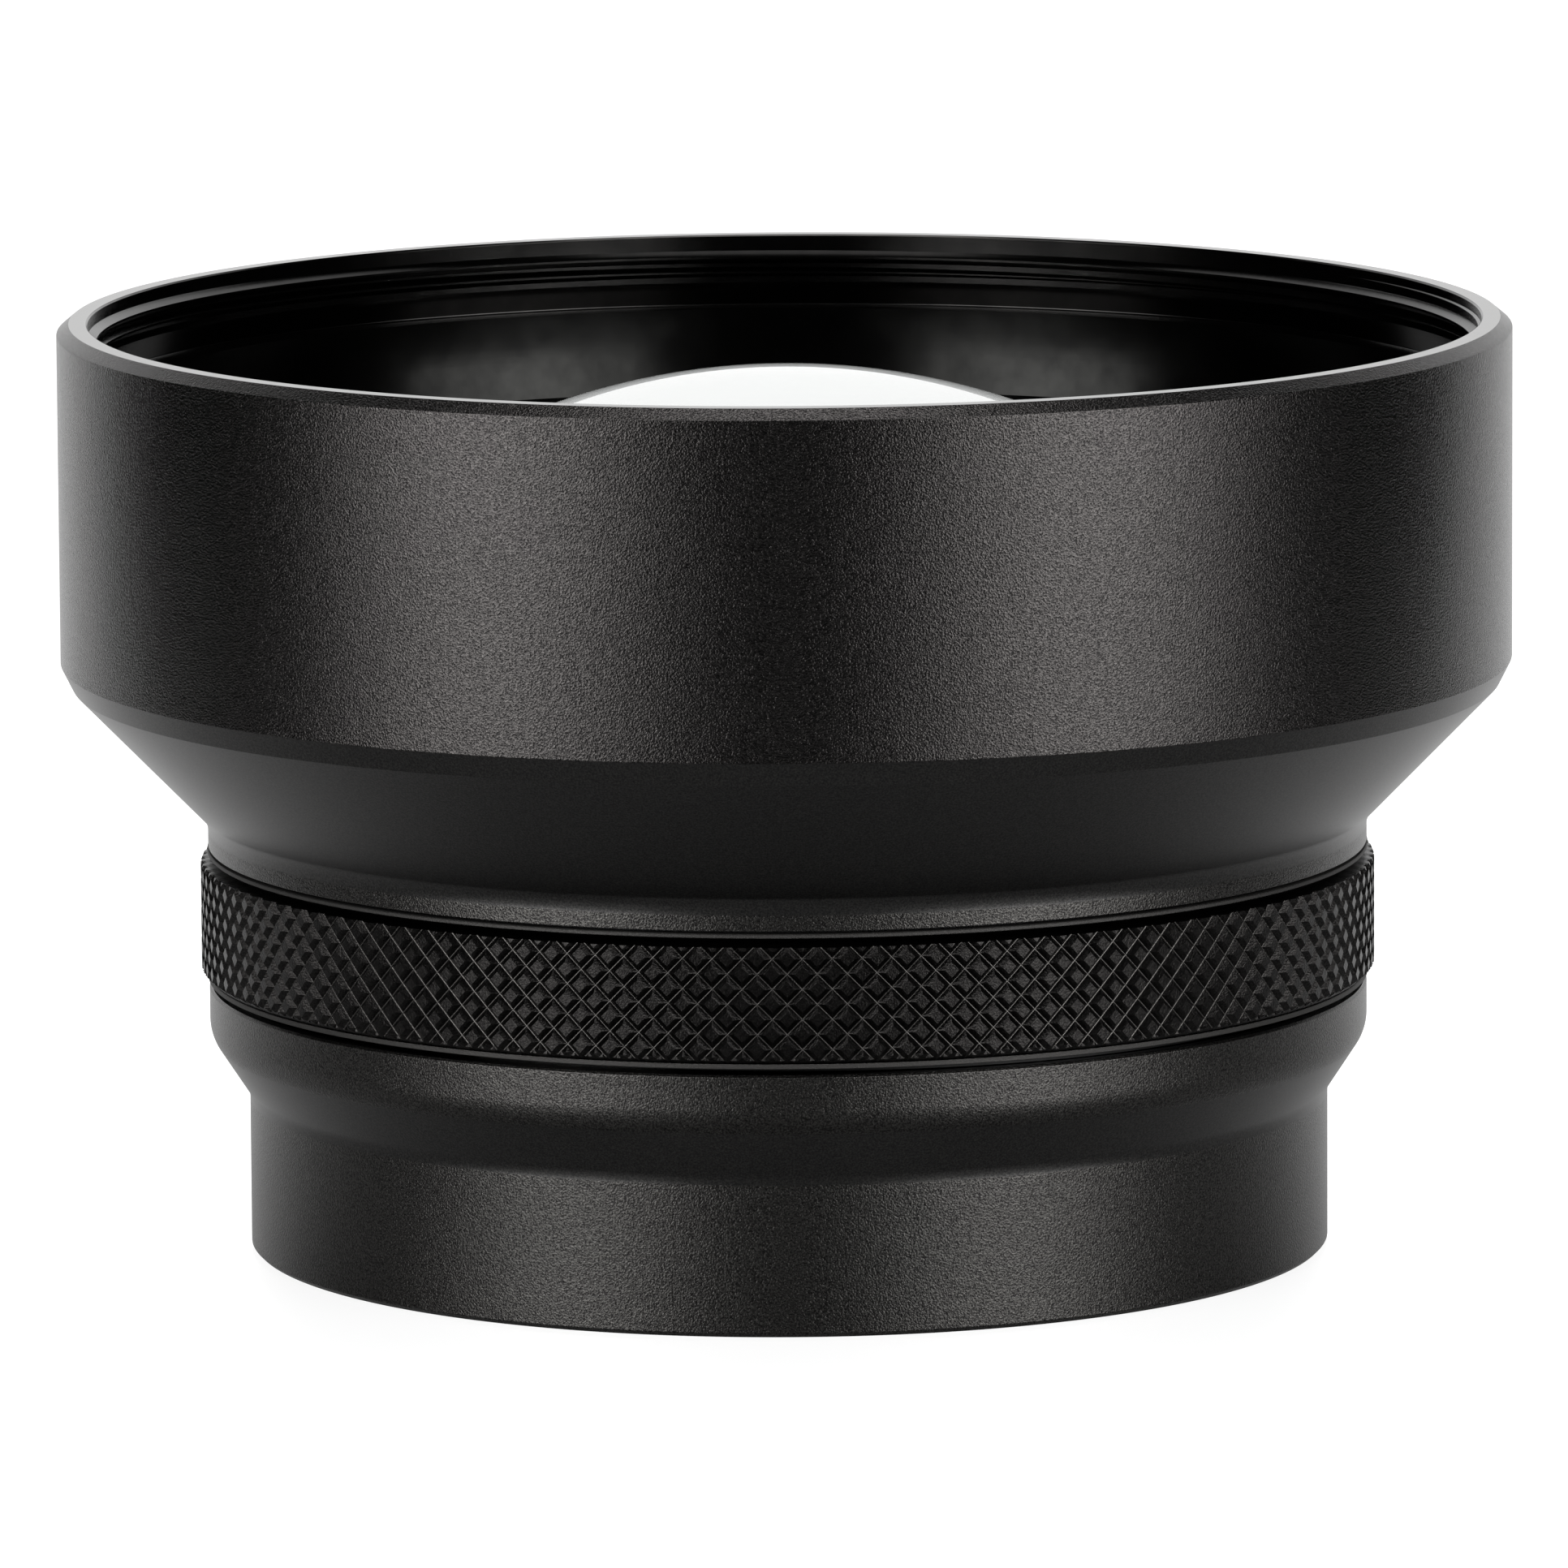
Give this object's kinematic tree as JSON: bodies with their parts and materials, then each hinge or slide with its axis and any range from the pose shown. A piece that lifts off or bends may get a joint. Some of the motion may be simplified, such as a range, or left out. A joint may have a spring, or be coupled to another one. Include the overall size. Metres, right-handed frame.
{
  "type": "camera teleconverter",
  "caption": "Afocal tele attachment lens: bell-shaped threaded front, diamond-knurled focusing ring and recessed rear thread.",
  "frame": {"origin": "centre of the rear face, on the optical axis", "axes": "+Z along the optical axis, out of the front; the set screw is at +Y"},
  "size_m": [0.07, 0.07, 0.045],
  "materials": {
    "blasted_black": "bead-blasted and black anodised, fine satin grain",
    "turned_black": "turned and black anodised, smooth satin",
    "knurled_black": "diamond knurled and black anodised",
    "matte_black": "matt black lacquer against stray light",
    "optical_glass": "polished and coated optical glass",
    "seal_rubber": "moulded nitrile rubber",
    "brass": "turned brass",
    "spring_steel": "rolled spring steel",
    "screw_steel": "blackened machine-screw steel",
    "washer_polymer": "low-friction fluoropolymer"
  },
  "bodies": {
    "barrel": {"front_barrel": "blasted_black", "front_cell": "matte_black", "front_retaining_ring": "turned_black", "front_seal_ring": "seal_rubber", "front_crown_lens": "optical_glass", "front_flint_lens": "optical_glass", "front_seat_shim": "brass", "bell_baffle": "matte_black", "cam_sleeve": "turned_black", "glide_washer": "washer_polymer", "wave_washer": "spring_steel", "rear_barrel": "blasted_black", "barrel_set_screw": "screw_steel"},
    "focus_ring": {"drive_ring": "turned_black", "grip_ring": "knurled_black"},
    "lens_cell": {"rear_cell": "turned_black", "cam_rollers": "brass", "cam_screws": "screw_steel", "rear_front_lens": "optical_glass", "rear_spacer_ring": "matte_black", "rear_back_lens": "optical_glass", "rear_retaining_ring": "turned_black"}
  },
  "joints": [
    {"name": "focus_turn", "type": "hinge", "parent": "barrel", "child": "focus_ring", "pos_m": [0, 0, 0.0163], "axis": [0, 0, 1], "range_deg": [0, 90]},
    {"name": "cell_slide", "type": "slide", "parent": "focus_ring", "child": "lens_cell", "axis": [0, 0, 1], "range_m": [0, 0.0018]}
  ],
  "couplings": [
    {"joint": "cell_slide", "follows": "focus_turn", "m_per_rad": 0.0011459}
  ]
}
